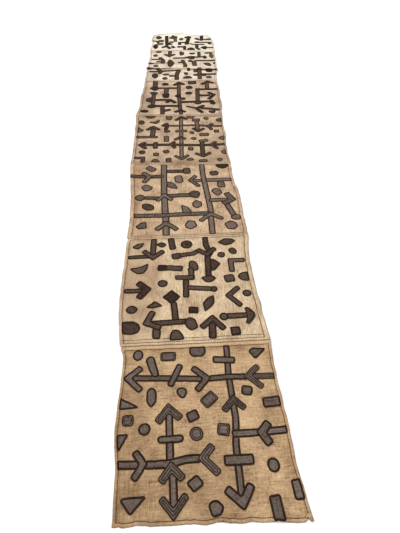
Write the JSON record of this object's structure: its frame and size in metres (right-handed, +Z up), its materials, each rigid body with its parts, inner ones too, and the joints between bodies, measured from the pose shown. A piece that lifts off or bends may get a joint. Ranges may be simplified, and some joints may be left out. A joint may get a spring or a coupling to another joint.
{
  "type": "kuba raffia cloth",
  "caption": "Long wrapper of plain-woven raffia panels sewn end to end, with hems and dark raffia appliqué patches, laid out flat.",
  "frame": {"origin": "bottom centre of the cloth's box, on the floor it lies on", "axes": "+Y along the cloth from its near end to its far end, +X to the right seen from the near end, +Z up"},
  "size_m": [0.756, 4.7922, 0.0196],
  "materials": {
    "raffia_a": "matte plain-woven raffia",
    "raffia_b": "matte plain-woven raffia",
    "raffia_c": "matte plain-woven raffia",
    "raffia_d": "matte plain-woven raffia",
    "raffia_e": "matte plain-woven raffia",
    "raffia_f": "matte plain-woven raffia",
    "raffia_g": "matte plain-woven raffia",
    "dark_raffia": "matte dyed raffia with dense thread edging"
  },
  "bodies": {
    "root": {"panel_a": "raffia_a", "panel_b": "raffia_b", "panel_c": "raffia_c", "panel_d": "raffia_d", "panel_e": "raffia_e", "panel_f": "raffia_f", "panel_g": "raffia_g", "patch_a_cross_arrows": "dark_raffia", "patch_a_double_arrow": "dark_raffia", "patch_a_kite": "dark_raffia", "patch_a_top_block": "dark_raffia", "patch_a_bullet": "dark_raffia", "patch_a_turned_block": "dark_raffia", "patch_a_turned_square": "dark_raffia", "patch_a_disc": "dark_raffia", "patch_a_side_block": "dark_raffia", "patch_a_low_turned_square": "dark_raffia", "patch_a_low_triangle": "dark_raffia", "patch_a_tall_block": "dark_raffia", "patch_a_hexagon": "dark_raffia", "patch_b_hanging_arrow": "dark_raffia", "patch_b_tall_figure": "dark_raffia", "patch_b_left_arrow": "dark_raffia", "patch_b_stepped_figure": "dark_raffia", "patch_b_diamond_bar": "dark_raffia", "patch_b_barbell": "dark_raffia", "patch_b_up_arrow": "dark_raffia", "patch_b_bar": "dark_raffia", "patch_b_right_leaf": "dark_raffia", "patch_b_angle": "dark_raffia", "patch_c_lattice": "dark_raffia", "patch_c_lozenge": "dark_raffia", "patch_c_square": "dark_raffia", "patch_c_oval": "dark_raffia", "patch_c_half_leaf": "dark_raffia", "patch_c_half_moon": "dark_raffia", "patch_c_right_lozenge": "dark_raffia", "patch_c_low_disc": "dark_raffia", "patch_c_low_square": "dark_raffia", "patch_d_lattice": "dark_raffia", "patch_d_up_arrow": "dark_raffia", "patch_d_top_half_moon": "dark_raffia", "patch_d_top_block": "dark_raffia", "patch_d_disc": "dark_raffia", "patch_d_tall_block": "dark_raffia", "patch_e_lattice": "dark_raffia", "patch_e_low_arrow": "dark_raffia", "patch_e_top_block": "dark_raffia", "patch_e_upper_hexagon": "dark_raffia", "patch_e_oval": "dark_raffia", "patch_f_down_arrow": "dark_raffia", "patch_f_left_arrow": "dark_raffia", "patch_f_cross_bar": "dark_raffia", "patch_f_tall_diamond": "dark_raffia", "patch_f_left_bar": "dark_raffia", "patch_f_crooked_strip": "dark_raffia", "patch_g_left_strip": "dark_raffia", "patch_g_cap_strip": "dark_raffia", "patch_g_upper_bar": "dark_raffia", "patch_g_right_arrow": "dark_raffia"}
  },
  "joints": []
}
